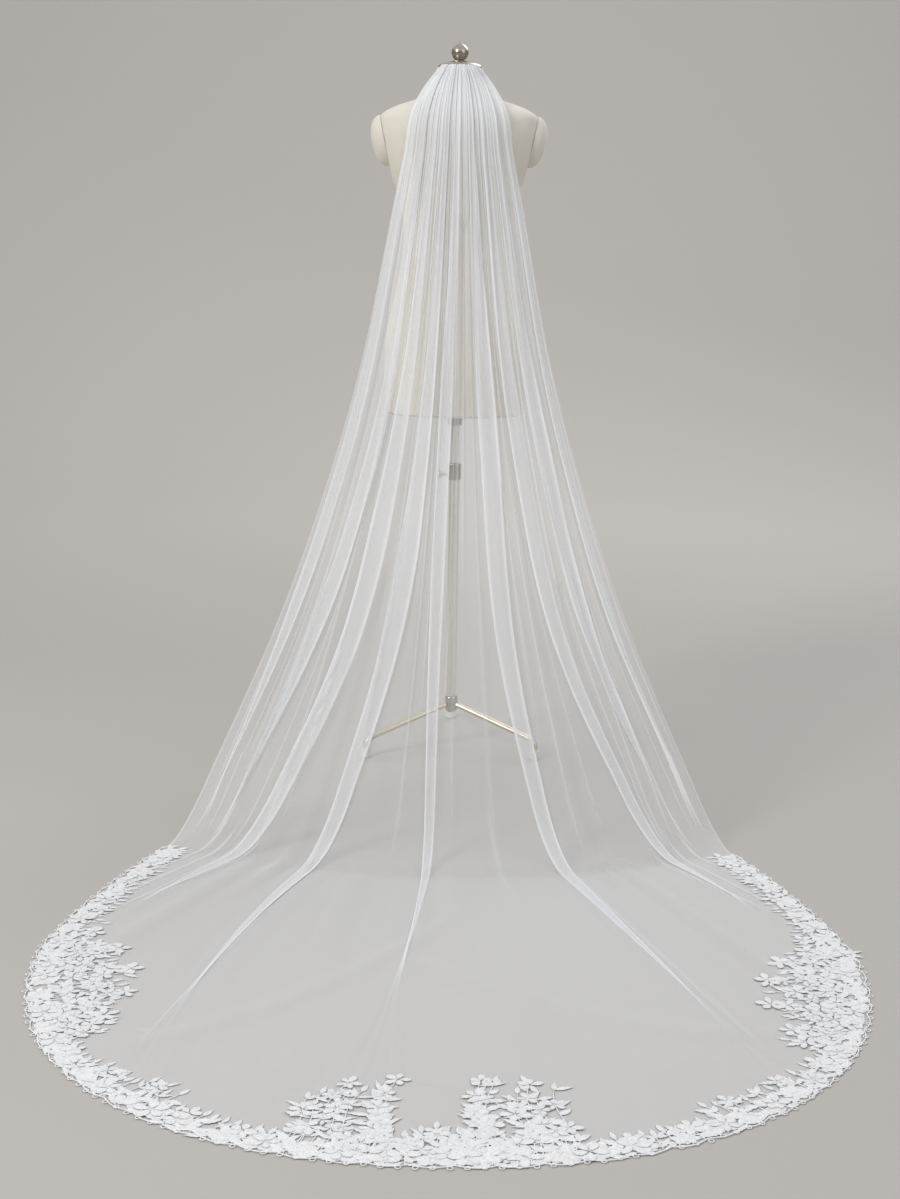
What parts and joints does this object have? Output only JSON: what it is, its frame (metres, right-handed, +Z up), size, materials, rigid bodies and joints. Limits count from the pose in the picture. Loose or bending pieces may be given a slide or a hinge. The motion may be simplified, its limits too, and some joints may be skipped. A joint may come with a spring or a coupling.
{
  "type": "bridal veil on dress form stand",
  "caption": "Cathedral-length tulle bridal veil with a floral lace border, gathered at the neck of a limbless dress form on a tripod stand, its train spread on the floor.",
  "frame": {"origin": "on the floor under the middle of the whole model's box", "axes": "+Z up; -Y the way the train runs; +X to the right for a viewer behind the form who looks along +Y"},
  "size_m": [1.454, 2.2646, 1.683],
  "materials": {
    "tulle": "sheer white tulle",
    "lace": "embroidered white lace",
    "ribbon_satin": "white satin ribbon",
    "comb_plastic": "clear plastic",
    "ivory_jersey": "ivory cotton jersey stretched over a hard foam body",
    "nickel": "polished nickel plate",
    "pale_brass": "pale brass, satin",
    "rubber": "matte"
  },
  "bodies": {
    "root": {"veil_tulle": "tulle", "gather_ribbon": "ribbon_satin", "comb": "comb_plastic", "lace_left": "lace", "lace_front_left": "lace", "lace_front": "lace", "lace_front_right": "lace", "lace_right": "lace", "form_torso": "ivory_jersey", "arm_cap_left": "ivory_jersey", "arm_cap_right": "ivory_jersey", "neck_plate": "nickel", "finial": "nickel", "pole_socket": "nickel", "pole_upper": "nickel", "pole_collar": "nickel", "collar_knob": "nickel", "pole_lower": "nickel", "tripod_hub": "nickel", "leg_1": "pale_brass", "leg_2": "pale_brass", "leg_3": "pale_brass", "foot_1": "rubber", "foot_2": "rubber", "foot_3": "rubber"}
  },
  "joints": []
}
